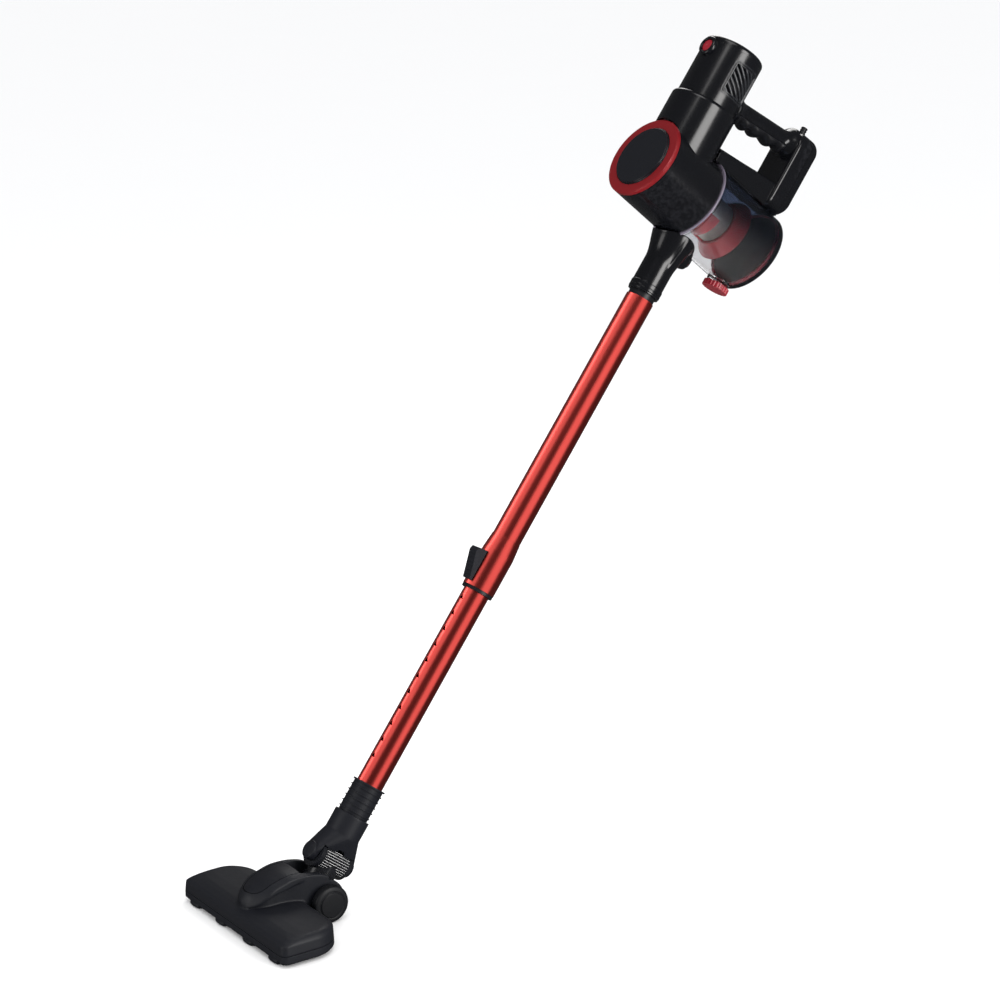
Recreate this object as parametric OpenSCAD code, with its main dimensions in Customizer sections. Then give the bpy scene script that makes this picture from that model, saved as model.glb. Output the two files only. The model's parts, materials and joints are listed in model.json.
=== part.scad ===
// Corded stick vacuum cleaner: a hand unit with a see-through cyclone, a telescopic wand
// and a swivelling floor head. Millimetres, +Z up, +X to the right, the head faces -Y.
// The origin is the middle of the hand grip. The wand leans back over the head.

/* [Stance] */
// Angle between the wand and the floor
lean = 52.8; // [50:0.1:56]
// Fall of the cyclone axis toward its rear
cyclone_tilt = 3; // [2:0.5:4]
// Rise of the handle toward its rear
handle_tilt = 6; // [5:0.5:7]

/* [Motor housing] */
// Radius of the upper motor housing
motor_r = 37.5; // [37:0.1:38]
// Radius of the lower motor housing
lower_r = 41; // [40.5:0.1:41.5]
// Wall of the moulded housings
wall = 2.2; // [2:0.1:2.4]
// Radius of the power button
power_r = 6.9; // [6:0.1:7]
// Number of slots in each exhaust grille
grille_slots = 7; // [5:1:8]

/* [Cyclone] */
// Radius of the front casing
cyclone_r = 51.5; // [51:0.1:52]
// Length of the cyclone from the front cover to the lid
cyclone_len = 206; // [205:1:207]
// Place of the rim between the casing and the dust cup
rim_y = 88; // [87:1:89]
// Radius of the raised disc in the front cover
disc_r = 39; // [37:0.5:40]
// Radius of the steel mesh
mesh_r = 25.5; // [25:0.1:26]
// Radius of the bell-shaped skirt
skirt_r = 40; // [38:0.5:41]

/* [Handle] */
// Radius of the handle
handle_r = 13.2; // [13:0.1:13.5]
// Half width of the rear pod
pod_half = 25; // [24:0.5:26]
// Height of the rear pod
pod_h = 104; // [103:1:105]

/* [Wand] */
// Radius of the upper tube
upper_tube_r = 17.5; // [17.4:0.1:17.6]
// Radius of the lower tube
lower_tube_r = 16; // [15.9:0.1:16]
// Wall of both tubes
tube_wall = 0.8; // [0.7:0.1:0.8]
// Radius of the telescope collar
collar_r = 19.8; // [19.6:0.1:20]
// Number of length notches
notches = 11; // [9:1:11]
// Spacing of the notches
notch_pitch = 20.84; // [20:0.01:21]

/* [Floor head] */
// Half width of the head
head_half = 118; // [115:1:120]
// Radius of the rear wheels
wheel_r = 22; // [21.5:0.5:22]
// Half width of the raised bill
bill_half = 28; // [27:0.5:29]

/* [Hidden] */
$fn = 72;

gloss_black = "#15161a";
matte_black = "#23252b";
metallic_red = "#b01c1c";
deep_red = "#8a1520";
clear_smoke = "#6a707c";
steel = "#9a9a9c";

grip_y = 32;             // grip centre behind the wand axis
grip_z = 257;            // grip centre above the top of the wand tube
motor_y = -54.5;         // motor axis in front of the wand axis
lower_y = -55.5;         // lower housing axis
shoulder_z = 233;        // top of the lower housing
motor_top_z = 308;
cyclone_y = -97.6;       // front face of the cover
cyclone_z = 137.6;
cover_t = 6;             // thickness of the front cover
cup_r = 52;              // dust cup outside
rim_r = 53.5;            // flange of the dust cup
lid_y = cyclone_len - 7; // front face of the lid
hinge_z = 56;            // lid hinge above the cyclone axis
lid_sweep = 1.8;        // room below the hinge ears for the edge of the opening lid
power_z = 291;
pod_front = 78;          // pod front face behind the wand axis
pod_seam = 99;
pod_back = 111;
pod_z = 177;             // underside of the pod
gland_y = 92;
latch_y = 90;            // lid latch button behind the wand axis
latch_z = 64.5;          // its underside
duct_r = 19.3;
duct_bore = 16.4;        // bore that takes the wand spigot
lip_z = 7;               // lower lip of the inlet duct
upper_end = -392.5;        // lower end of the telescope collar
tube_top = -345;         // upper end of the lower tube
tube_end = -685;         // lower end of the lower tube
first_notch = -409;
sleeve_top = -650;
cuff_top = -690;
swivel_z = -747;         // swivel pin axis
swivel_r = 17;           // barrel that turns between the ears
ear_in = 23.6;           // inner faces of the two ears
ear_out = 30;
neck_r = 17.5;
pitch_y = 5;             // pitch axis behind the wand axis
pitch_z = -789;
head_front = -107;       // front edge of the head, from the pitch axis
head_rear = -27;
plate_z = -19;           // underside of the base plate
split_z = -8.5;          // joint between base plate and top shell
cheek_in = 19.6;         // inner faces of the two cheeks beside the neck
cheek_r = 25;
pin_r = 3;
run_gap = 0.05;          // radial clearance of a turning pin

// Frames: the hand unit and wand, the motor, the cyclone, the handle and the floor head.
module in_unit() {
    rotate([lean - 90, 0, 0]) translate([0, -grip_y, -grip_z]) children();
}
module in_motor() { in_unit() translate([0, motor_y, 0]) children(); }
module in_cyclone() {
    in_unit() translate([0, cyclone_y, cyclone_z]) rotate([-cyclone_tilt, 0, 0]) children();
}
module in_handle() { in_unit() translate([0, grip_y, grip_z]) rotate([handle_tilt, 0, 0]) children(); }
module in_neck() { in_unit() translate([0, pitch_y, pitch_z]) children(); }
module in_head() { in_neck() rotate([90 - lean, 0, 0]) children(); }

// Plain shapes along each axis.
module zcyl(r, z0, z1) { translate([0, 0, z0]) cylinder(r = r, h = z1 - z0); }
module ztube(ro, ri, z0, z1) {
    difference() {
        zcyl(ro, z0, z1);
        zcyl(ri, z0 - 1, z1 + 1);
    }
}
module ycyl(r, y0, y1) { translate([0, y0, 0]) rotate([-90, 0, 0]) cylinder(r = r, h = y1 - y0); }
module ytube(ro, ri, y0, y1) {
    difference() {
        ycyl(ro, y0, y1);
        ycyl(ri, y0 - 1, y1 + 1);
    }
}
module xcyl(r, x0, x1) { translate([x0, 0, 0]) rotate([0, 90, 0]) cylinder(r = r, h = x1 - x0); }
module box(x0, x1, y0, y1, z0, z1) { translate([x0, y0, z0]) cube([x1 - x0, y1 - y0, z1 - z0]); }
// A plate standing across Y, with rounded corners.
module rounded_plate(half, z0, z1, r, y0, y1) {
    box(-half + r, half - r, y0, y1, z0, z1);
    box(-half, half, y0, y1, z0 + r, z1 - r);
    for (x = [-half + r, half - r], z = [z0 + r, z1 - r]) translate([x, 0, z]) ycyl(r, y0, y1);
}
// A cap with a rounded top edge.
module rounded_cap(r, h, edge) {
    rotate_extrude() {
        square([r - edge, h]);
        square([r, h - edge]);
        intersection() {
            translate([r - edge, h - edge]) circle(edge);
            square([r, h]);
        }
    }
}
// A wall sector between two angles.
module sector(ri, ro, a0, a1, z0, z1) {
    rotate([0, 0, a0]) rotate_extrude(angle = a1 - a0) translate([ri, z0]) square([ro - ri, z1 - z0]);
}

// ---- hand unit: motor ----
module main_casing() {
    color(gloss_black) difference() {
        union() {
            in_cyclone() ycyl(cyclone_r, cover_t, rim_y);
            in_unit() translate([0, lower_y, 140]) rounded_cap(lower_r, shoulder_z - 140, 5);
        }
        in_cyclone() {
            ycyl(cyclone_r - wall, cover_t - 1, rim_y - 3);
            ycyl(20, rim_y - 4, rim_y + 1);
            ycyl(cyclone_r + 1, -20, cover_t);
        }
        in_unit() translate([0, lower_y, 0]) zcyl(lower_r - wall, 150, shoulder_z - 5);
        in_motor() zcyl(motor_r, shoulder_z - 6, shoulder_z + 1);
    }
}
module grille_window(side, gap) {
    a0 = side > 0 ? -24 - gap : 144 - gap;
    sector(motor_r - 4, motor_r + 4, a0, a0 + 58 + 2 * gap, 249 - gap, 288 + gap);
}
module motor_housing() {
    color(gloss_black) in_motor() difference() {
        ztube(motor_r, motor_r - wall, shoulder_z - 5, motor_top_z - 8);
        grille_window(1, 0.1);
        grille_window(-1, 0.1);
        translate([0, 0, power_z]) ycyl(10.1, -60, -20);
    }
}
module motor_top_cap() {
    color(gloss_black) in_motor() difference() {
        union() {
            translate([0, 0, motor_top_z - 8]) rounded_cap(motor_r, 8, 5);
            ztube(motor_r - wall - 0.1, motor_r - 2 * wall, motor_top_z - 12, motor_top_z - 8);
        }
        translate([0, 0, power_z]) ycyl(10.1, -60, -20);
    }
}
module grille(side) {
    slot_pitch = 9.5;
    color(gloss_black) in_motor() difference() {
        intersection() {
            ztube(motor_r + 0.4, motor_r - wall + 0.2, 240, 296);
            grille_window(side, 0);
        }
        for (i = [0 : grille_slots - 1])
            rotate([0, 0, side > 0 ? 5 : 175])
                translate([motor_r, 0, 268.5 + (i - (grille_slots - 1) / 2) * slot_pitch])
                    rotate([side * 62, 0, 0]) cube([9, 26 - abs(i - 3) * 3, 2.6], center = true);
    }
}
module grille_right() { grille(1); }
module grille_left() { grille(-1); }
module power_bezel() {
    color(matte_black) in_motor() translate([0, 0, power_z]) ytube(10, power_r + 0.3, -39.2, -33);
}
module power_button() {
    color("#c81e28") in_motor() translate([0, 0, power_z]) ycyl(power_r, -40.4, -34);
}
module power_switch() {
    color("#2b2b30") in_motor() box(-7, 7, -31.5, -20, power_z - 8, power_z + 6);
}
module motor_stator() {
    color(steel) in_motor() ztube(30, 18.6, 210, 270);
}
module motor_brackets() {
    color(steel) in_motor() {
        ztube(30, 8, 206, 210);
        ztube(30, 8, 270, 274);
    }
}
module motor_bearings() {
    color("#b8b8ba") in_motor() {
        ztube(8, pin_r + run_gap, 205, 211);
        ztube(8, pin_r + run_gap, 269, 275);
    }
}
module motor_mounts() {
    color("#1c1c1e") in_motor() {
        ztube(motor_r - wall - 0.1, 30, 258, 266);
        ztube(motor_r - wall - 0.1, 30, 230, 238);
    }
}
module motor_shaft() {
    color("#c0c0c4") in_motor() zcyl(pin_r, 190, 280);
}
module motor_armature() {
    color("#8c4a22") in_motor() ztube(17.6, pin_r, 214, 266);
}
module impeller() {
    color(steel) in_motor() {
        ztube(33, pin_r, 193, 194.5);
        ztube(9, pin_r, 194.5, 203);
        for (i = [0 : 8]) rotate([0, 0, i * 40]) rotate([0, 0, 20]) box(8, 31, -0.6, 0.6, 194.5, 202);
    }
}
module fan_shroud() {
    color("#3a3a3e") in_motor() {
        ztube(37.7, 34.5, 190, 206);
        ztube(36, 30.1, 204, 206);
    }
}

// ---- hand unit: front cover and filters ----
module cover_ring() {
    color(deep_red) in_cyclone() difference() {
        union() {
            ycyl(cyclone_r, 1.5, cover_t - 0.3);
            ycyl(cyclone_r - 1, 0.5, 2);
            ycyl(cyclone_r - wall - 0.4, cover_t - 1, cover_t + 6);
        }
        ycyl(disc_r, -5, 4);
        ycyl(disc_r - 3, 3, cover_t + 10);
    }
}
module cover_disc() {
    color(gloss_black) in_cyclone() {
        ycyl(disc_r - 1.5, -2, 0);
        ycyl(disc_r - 0.3, 0, 3.9);
    }
}
module pleated_filter() {
    color("#e8e6de") in_cyclone() {
        ytube(44, 16, 15, 40);
        ycyl(44, 40.1, 42);
    }
}
module foam_filter() {
    color("#3b3d44") in_cyclone() ytube(46, 14, 45, 62);
}

// ---- hand unit: handle ----
module handle_outside() {
    ycyl(handle_r, -49, 46);
    translate([0, -49, 0]) rotate([-90, 0, 0]) cylinder(r1 = 17, r2 = handle_r, h = 12);
    translate([0, 36, 0]) rotate([-90, 0, 0]) cylinder(r1 = handle_r, r2 = 19.5, h = 12);
}

module handle_body() {
    color(gloss_black) difference() {
        in_handle() handle_outside();
        in_handle() ycyl(handle_r - 2.6, -60, 60);
        in_motor() zcyl(motor_r, 190, 320);
        in_unit() translate([0, lower_y, 140]) rounded_cap(lower_r, shoulder_z - 140, 5);
        in_unit() box(-40, 40, pod_front, 130, 150, 320);
    }
}
module finger_grip() {
    color("#1b1c20") in_handle() difference() {
        for (y = [-27, -6, 15, 34]) translate([0, y, -4.6]) intersection() {
            xcyl(12.2, -13, 13);
            ycyl(12.2, -13, 13);
        }
        handle_outside();
        box(-30, 30, -60, 60, -2, 40);
    }
}
module arm_outline(inset) {
    polygon([[-16, 170], [-13.5 + inset, 200 - inset], [pod_front, 211 - inset],
        [pod_front, 170]]);
}
module bridge_arm() {
    color(gloss_black) difference() {
        in_unit() translate([-21, 0, 0]) rotate([90, 0, 90]) linear_extrude(42) arm_outline(0);
        in_unit() translate([-21 + wall, 0, 0]) rotate([90, 0, 90])
            linear_extrude(42 - 2 * wall) translate([0, -wall]) arm_outline(wall);
        in_cyclone() ycyl(rim_r + 0.3, 60, 240);
        in_unit() translate([0, lower_y, 140]) rounded_cap(lower_r, shoulder_z - 140, 5);
        in_cyclone() ycyl(cyclone_r, 0, 100);
    }
}
// The pod: a plate with rounded corners, also rounded in side view, that saddles the dust cup.
module pod_side(inset) {
    top = pod_z + pod_h;
    hull() for (q = [[pod_front + 9, top - 9, 9], [pod_back - 10, top - 10, 10],
        [pod_back - 13, pod_z + 13, 13], [pod_front + 2, pod_z + 2, 2]])
        translate([q[0], q[1]]) circle(q[2] - inset, $fn = 48);
}
module pod_form(inset) {
    intersection() {
        rounded_plate(pod_half - inset, pod_z + inset, pod_z + pod_h - inset, 16 - inset, 70, 120);
        translate([-40, 0, 0]) rotate([90, 0, 90]) linear_extrude(80) pod_side(inset);
    }
}
module pod_shell() {
    color(gloss_black) difference() {
        in_unit() difference() {
            pod_form(0);
            pod_form(wall);
            box(-40, 40, pod_seam, 130, 160, 300);
            translate([0, gland_y, 0]) zcyl(3.6, 270, 300);
        }
        in_cyclone() ycyl(cup_r + 0.6, 100, 240);
        in_unit() box(-17, 17, 85, 130, 160, 190);
    }
}
module pod_back_cover() {
    color(gloss_black) difference() {
        in_unit() difference() {
            pod_form(0);
            pod_form(wall);
            box(-40, 40, 60, pod_seam, 160, 300);
        }
        in_cyclone() ycyl(cup_r + 0.6, 100, 240);
        in_unit() box(-40, 40, 85, 130, 160, 190);
    }
}
module pod_screws() {
    color(steel) in_unit()
        for (x = [-15, 15], z = [pod_z + 26, pod_z + pod_h - 20])
            translate([x, 0, z]) ycyl(3, pod_back - 1, pod_back + 0.6);
}
module cord_gland() {
    color(matte_black) in_unit() translate([0, gland_y, 0]) difference() {
        union() {
            zcyl(3.6, 277, 292.5);
            for (z = [281.5, 284.5, 287.5, 290.5]) zcyl(4.1, z, z + 1.6);
        }
        zcyl(2.8, 270, 300);
    }
}

// ---- hand unit: inlet ----
module inlet_duct() {
    color(gloss_black) difference() {
        in_unit() {
            zcyl(duct_r, lip_z, 60);
            zcyl(duct_r + 0.7, lip_z, lip_z + 10);
            translate([0, 0, 50]) cylinder(r1 = duct_r, r2 = 29, h = 38);
            translate([0, 0, 88]) cylinder(r = 29, h = 22);
            box(-9, 9, 15, 31, 60, 86);
            box(-4, 4, 19, 24, lip_z + 2, lip_z + 9);
        }
        in_cyclone() ycyl(rim_r + 0.1, 20, 150);
        in_unit() {
            zcyl(duct_bore, lip_z - 1, 52);
            zcyl(duct_bore - 1.5, 51, 120);
            box(-7.2, 7.2, 23.5, 40, 62.5, 83.5);
        }
    }
}
module wand_release_button() {
    color(matte_black) difference() {
        in_unit() {
            box(-6.8, 6.8, 27, 34, 63, 83);
            box(-5.5, 5.5, 33, 36, 65, 81);
        }
        in_cyclone() ycyl(cup_r + 0.7, 60, 240);
    }
}
module inlet_seal() {
    color("#2a2a2c") in_unit() ztube(duct_bore - 0.1, 14, 47.5, 50.5);
}

// ---- hand unit: dust cup ----
module dust_cup() {
    color(clear_smoke, 0.4) difference() {
        union() {
            in_cyclone() {
                ytube(cup_r, cup_r - wall, rim_y, lid_y);
                ytube(rim_r, cup_r - wall, rim_y, rim_y + 4);
            }
            in_unit() translate([0, latch_y, 0]) zcyl(15, 74.5, 84);
            in_cyclone() for (x = [-14, 10]) translate([x, 0, 0]) box(0, 4, lid_y - 11, lid_y + 3, 48, hinge_z + 3.6);
        }
        in_cyclone() ycyl(cup_r - wall, rim_y - 1, lid_y + 1);
        in_cyclone() translate([0, lid_y, hinge_z]) xcyl(2, -20, 20);
        in_unit() translate([0, latch_y, 0]) zcyl(5.3, 60, 90);
        in_unit() zcyl(duct_bore - 1.5, 60, 120);
        in_cyclone() ycyl(cup_r + lid_sweep, lid_y, lid_y + 40);
    }
}
module cyclone_frame() {
    color(deep_red) in_cyclone() {
        ytube(30, 19, rim_y, rim_y + 3);
        difference() {
            ytube(28.5, mesh_r + 0.1, rim_y + 3, 142);
            for (a = [0, 90]) rotate([0, a - 20, 0]) box(-18, 18, rim_y + 15, 136, -40, 40);
        }
    }
}
module mesh_screen() {
    color("#b9b6ae") in_cyclone() ytube(mesh_r, mesh_r - 0.6, rim_y + 3, 141);
}
module cyclone_skirt() {
    color(deep_red) in_cyclone() {
        difference() {
            translate([0, 142, 0]) rotate([-90, 0, 0]) cylinder(r1 = 28.5, r2 = skirt_r, h = 16);
            translate([0, 143.5, 0]) rotate([-90, 0, 0]) cylinder(r1 = 27, r2 = skirt_r - 1, h = 16);
        }
        ytube(28.5, 10, 142, 144);
    }
}
module cup_lid() {
    color(gloss_black) in_cyclone() difference() {
        union() {
            ycyl(cup_r + 0.4, lid_y + 0.4, lid_y + 6);
            ycyl(cup_r - 3, lid_y + 5, lid_y + 7);
            box(-9.4, 9.4, lid_y + 0.4, lid_y + 4.5, 46, hinge_z + 2);
            translate([0, lid_y, hinge_z]) xcyl(3.4, -9.4, 9.4);
        }
        translate([0, lid_y, hinge_z]) xcyl(2 + run_gap, -20, 20);
    }
}
module lid_seal() {
    color("#a02a3a") in_cyclone() ytube(cup_r - wall - 0.3, cup_r - wall - 3, lid_y - 2.5, lid_y + 0.4);
}
module lid_hinge_pin() {
    color(steel) in_cyclone() translate([0, lid_y, hinge_z]) xcyl(2, -14, 14);
}
module lid_latch_button() {
    color(deep_red) in_unit() translate([0, latch_y, latch_z]) {
        difference() {
            zcyl(16.5, 0, 7);
            for (a = [0 : 15 : 345]) rotate([0, 0, a]) translate([17.6, 0, 0]) zcyl(1.8, -1, 8);
        }
        zcyl(5, 7, 12);
    }
}

// ---- wand ----
module wand_spigot() {
    color(matte_black) in_unit() {
        ztube(duct_bore - 0.1, 14.5, 0, 44);
        ztube(upper_tube_r - tube_wall, 14.5, -20, 0);
    }
}
module upper_tube() {
    color(metallic_red) in_unit() ztube(upper_tube_r, upper_tube_r - tube_wall, upper_end + 20, 0);
}
module telescope_collar() {
    color(metallic_red) in_unit() difference() {
        union() {
            zcyl(collar_r, upper_end, -345);
            translate([0, 0, -345]) cylinder(r1 = collar_r, r2 = upper_tube_r + 0.4, h = 20);
        }
        zcyl(upper_tube_r, upper_end + 20, -300);
        zcyl(lower_tube_r + 0.7, upper_end - 1, upper_end + 21);
        box(-3, 3, -30, -16.9, -381, -355);
    }
}
module collar_ring() {
    color(matte_black) in_unit() ztube(collar_r - 0.4, lower_tube_r + 0.3, upper_end - 4, upper_end);
}
module telescope_button() {
    color(matte_black) in_unit() {
        translate([-7, 0, 0]) rotate([90, 0, 90]) linear_extrude(14)
            polygon([[-20.3, -388], [-23.5, -388], [-34.5, -356], [-33, -351], [-20.3, -349]]);
        box(-2.6, 2.6, -21, -17.85, -377, -363);
        for (i = [0 : 5])
            translate([0, -24.6 - i * 1.6, -384 + i * 4.7]) rotate([-19, 0, 0])
                box(-6, 6, -0.9, 2, 0, 1.8);
    }
}
module lower_tube() {
    color(metallic_red) in_unit() difference() {
        ztube(lower_tube_r, lower_tube_r - tube_wall, tube_end, tube_top);
        for (i = [0 : notches - 1])
            translate([0, -lower_tube_r, first_notch - i * notch_pitch]) rotate([90, 0, 0])
                linear_extrude(4, center = true) polygon([[-3.2, -2.6], [3.2, -2.6], [0, 3.2]]);
    }
}
module tube_bush() {
    color(matte_black) in_unit()
        ztube(upper_tube_r - tube_wall - 0.15, lower_tube_r - tube_wall, tube_top, tube_top + 6);
}

// ---- neck ----
module neck_sleeve() {
    color(matte_black) in_unit() {
        ztube(18.4, lower_tube_r, cuff_top, sleeve_top);
        ztube(20.3, lower_tube_r, sleeve_top - 2, sleeve_top);
        for (i = [1 : 5]) ztube(19.8, lower_tube_r, sleeve_top - 1.4 - i * 7, sleeve_top - i * 7);
    }
}
module neck_cuff() {
    color(matte_black) in_unit() difference() {
        union() {
            zcyl(21.6, cuff_top - 24, cuff_top);
            hull() {
                zcyl(21.6, cuff_top - 26, cuff_top - 24, $fn = 32);
                translate([0, 0, swivel_z + 3]) ycyl(11.5, -ear_out + 1, ear_out - 1, $fn = 32);
            }
            translate([0, 0, swivel_z]) ycyl(11.2, -ear_out, ear_out);
        }
        translate([0, 0, swivel_z]) ycyl(swivel_r + 1.6, -ear_in, ear_in);
        box(-30, 30, -ear_in, ear_in, swivel_z - 30, swivel_z);
        zcyl(16.1, cuff_top - 50, cuff_top + 1);
        translate([0, 0, swivel_z]) ycyl(5, -40, 40);
    }
}
module swivel_pins() {
    color(matte_black) in_unit() translate([0, 0, swivel_z])
        for (side = [-1, 1]) {
            a = side > 0 ? 18 : -ear_out - 1.2;
            ycyl(5, a, a + 13.2);
            ycyl(10.2, side > 0 ? ear_out : -ear_out - 1.2, side > 0 ? ear_out + 1.2 : -ear_out);
        }
}
module swivel_neck() {
    color(matte_black) difference() {
        union() {
            in_unit() translate([0, 0, swivel_z]) ycyl(swivel_r, -ear_in + 0.4, ear_in - 0.4);
            in_unit() zcyl(neck_r, pitch_z + 12, swivel_z);
            in_neck() xcyl(17, -cheek_in + 0.4, cheek_in - 0.4);
        }
        in_unit() translate([0, 0, swivel_z]) ycyl(5 + run_gap, -40, 40);
        in_unit() zcyl(13.5, pitch_z + 2, swivel_z + 30);
        in_neck() xcyl(pin_r + run_gap, -40, 40);
    }
}
module swivel_ribs() {
    color("#2c2e34") in_unit() translate([0, 0, swivel_z])
        for (side = [0, 180], i = [-4 : 4])
            rotate([0, side + i * 10, 0]) translate([swivel_r + 0.3, 0, 0]) ycyl(1, -18, 18, $fn = 24);
}

// ---- floor head ----
module head_plan(half, y_front, y_rear, r_front, r_rear) {
    hull() for (s = [-1, 1]) {
        translate([s * (half - r_front), y_front + r_front]) circle(r_front, $fn = 32);
        translate([s * (half - r_rear), y_rear - r_rear]) circle(r_rear, $fn = 48);
    }
}
// Each layer: height, half width, front edge, rear edge, front and rear corner radius.
head_layers = [[split_z, head_half, head_front, head_rear, 8, 36],
    [2.5, head_half - 1.5, head_front + 2, head_rear, 7, 36],
    [8, head_half - 5, head_front + 25, head_rear - 15, 12, 20]];
module head_form(inset) {
    hull() for (q = head_layers, s = [-1, 1]) translate([0, 0, q[0] > 0 ? q[0] - inset : q[0]]) {
        translate([s * (q[1] - q[4] - inset), q[2] + q[4] + inset, 0]) cylinder(r = q[4], h = 1.5, $fn = 32);
        translate([s * (q[1] - q[5] - inset), q[3] - q[5] - inset, 0]) cylinder(r = q[5], h = 1.5, $fn = 32);
    }
}
// The raised bill in side view: an arch from the nose over to the wheel axis.
bill_arch = [[-90, 14, 3], [-74, 18, 9], [-56, 22, 13], [-38, 26, 12], [-20, 26, 11.5], [1, 19, 12]];
module bill_slab(half, inset) {
    translate([-half, 0, 0]) rotate([90, 0, 90]) linear_extrude(2 * half) hull()
        for (q = bill_arch) translate([q[0], q[1]]) circle(q[2] - inset, $fn = 40);
}
module bill_plan(half) {
    translate([0, -62]) circle(half, $fn = 64);
    translate([-half, -62]) square([2 * half, 62]);
}
module bill_form(inset) {
    intersection() {
        union() {
            bill_slab(bill_half, inset + 1.5);
            bill_slab(bill_half - 8, inset);
        }
        linear_extrude(60) bill_plan(bill_half - inset);
    }
}
module cheek_form() {
    xcyl(cheek_r, -bill_half, bill_half);
    box(-bill_half, bill_half, -29, 0, -8.5, 20);
}
module head_top_shell() {
    color(matte_black) in_head() difference() {
        union() {
            head_form(0);
            bill_form(0);
            cheek_form();
        }
        head_form(3);
        bill_form(3);
        box(-bill_half + 4, bill_half - 4, -80, -24, -8, 14);
        box(-cheek_in, cheek_in, -26, 60, -40, 60);
        box(-200, 200, -60, 60, -40, split_z);
        xcyl(pin_r, -60, 60);
        for (x = [-90, 90]) translate([x, -60, 0]) zcyl(1.6, split_z - 1, 0);
    }
}
module bill_panel() {
    color("#1f2127") in_head() difference() {
        intersection() {
            translate([0, 0, 0.5]) bill_form(0);
            linear_extrude(60) intersection() {
                bill_plan(17);
                translate([-17, -100]) square([34, 74]);
            }
        }
        bill_form(0);
    }
}
module head_base_plate() {
    color(matte_black) in_head() difference() {
        union() {
            translate([0, 0, plate_z + 3]) linear_extrude(split_z - plate_z - 3)
                head_plan(head_half, head_front, head_rear, 8, 36);
            translate([0, 0, plate_z]) linear_extrude(3)
                head_plan(head_half - 2.5, head_front + 2.5, head_rear - 2.5, 7, 34);
            for (x = [-99, -33, 33, 99]) translate([x, head_front + 7, plate_z + 1]) xcyl(4, -8, 8);
        }
        translate([0, 0, plate_z + 3]) linear_extrude(30)
            head_plan(head_half - 3, head_front + 3, head_rear - 3, 6, 33);
        box(-100, 100, -84, -62, plate_z - 5, 0);
        box(-cheek_in, cheek_in, -40, 60, -40, 60);
    }
}
module bristle_strips() {
    color("#101114") in_head()
        for (y = [-92, -57]) box(-98, 98, y, y + 3.5, plate_z - 3, plate_z);
}
module pivot_pins() {
    color(steel) in_head() {
        xcyl(pin_r, 8, 44);
        xcyl(pin_r, -44, -8);
    }
}
module wheel() {
    difference() {
        union() {
            xcyl(wheel_r, 31, 43.5);
            xcyl(15, 43.5, 45);
        }
        xcyl(pin_r + run_gap, 30, 44.1);
    }
}
module wheel_right() { color("#1d1e22") in_head() wheel(); }
module wheel_left() { color("#1d1e22") in_head() mirror([1, 0, 0]) wheel(); }
module head_screws() {
    color(steel) in_head()
        for (x = [-90, 90]) translate([x, -45, 0]) zcyl(3, plate_z - 0.4, plate_z + 3);
}

main_casing();
motor_housing();
motor_top_cap();
grille_right();
grille_left();
power_bezel();
power_button();
power_switch();
motor_stator();
motor_brackets();
motor_bearings();
motor_mounts();
motor_shaft();
motor_armature();
impeller();
fan_shroud();
cover_ring();
cover_disc();
pleated_filter();
foam_filter();
handle_body();
finger_grip();
bridge_arm();
pod_shell();
pod_back_cover();
pod_screws();
cord_gland();
inlet_duct();
wand_release_button();
inlet_seal();
dust_cup();
cyclone_frame();
mesh_screen();
cyclone_skirt();
cup_lid();
lid_seal();
lid_hinge_pin();
lid_latch_button();
wand_spigot();
upper_tube();
telescope_collar();
collar_ring();
telescope_button();
lower_tube();
tube_bush();
neck_sleeve();
neck_cuff();
swivel_pins();
swivel_neck();
swivel_ribs();
head_top_shell();
bill_panel();
head_base_plate();
bristle_strips();
pivot_pins();
wheel_right();
wheel_left();
head_screws();
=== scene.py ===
"""Looks of a corded stick vacuum cleaner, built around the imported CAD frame."""
import json
import math

import bmesh
import bpy
from mathutils import Matrix, Vector


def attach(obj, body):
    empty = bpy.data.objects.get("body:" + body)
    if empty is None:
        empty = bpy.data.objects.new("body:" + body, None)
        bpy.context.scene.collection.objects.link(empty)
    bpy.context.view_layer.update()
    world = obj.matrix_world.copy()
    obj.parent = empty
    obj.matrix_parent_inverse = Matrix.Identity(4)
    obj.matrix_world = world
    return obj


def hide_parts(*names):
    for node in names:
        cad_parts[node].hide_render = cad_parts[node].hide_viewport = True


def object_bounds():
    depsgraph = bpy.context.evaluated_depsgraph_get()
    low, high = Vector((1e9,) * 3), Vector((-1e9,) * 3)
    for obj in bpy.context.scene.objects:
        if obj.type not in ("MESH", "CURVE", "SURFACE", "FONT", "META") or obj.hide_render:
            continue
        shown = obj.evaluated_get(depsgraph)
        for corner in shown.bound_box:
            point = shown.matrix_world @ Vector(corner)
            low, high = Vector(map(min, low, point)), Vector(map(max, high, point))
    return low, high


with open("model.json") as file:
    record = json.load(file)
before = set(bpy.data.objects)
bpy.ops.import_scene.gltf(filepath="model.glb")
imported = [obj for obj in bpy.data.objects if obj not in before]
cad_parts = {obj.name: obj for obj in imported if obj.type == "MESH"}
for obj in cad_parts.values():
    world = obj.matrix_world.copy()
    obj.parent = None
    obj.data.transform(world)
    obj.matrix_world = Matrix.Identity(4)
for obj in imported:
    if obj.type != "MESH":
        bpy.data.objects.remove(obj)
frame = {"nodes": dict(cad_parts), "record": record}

CAD_BOX = [list(corner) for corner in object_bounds()]
NODE_BODY = {n: b for b, names in frame["record"]["behaviour"]["bodies"].items() for n in names}
NODE_SLOT = {s["node"]: s["material_slot"] for s in frame["record"]["subparts"]}

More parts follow.
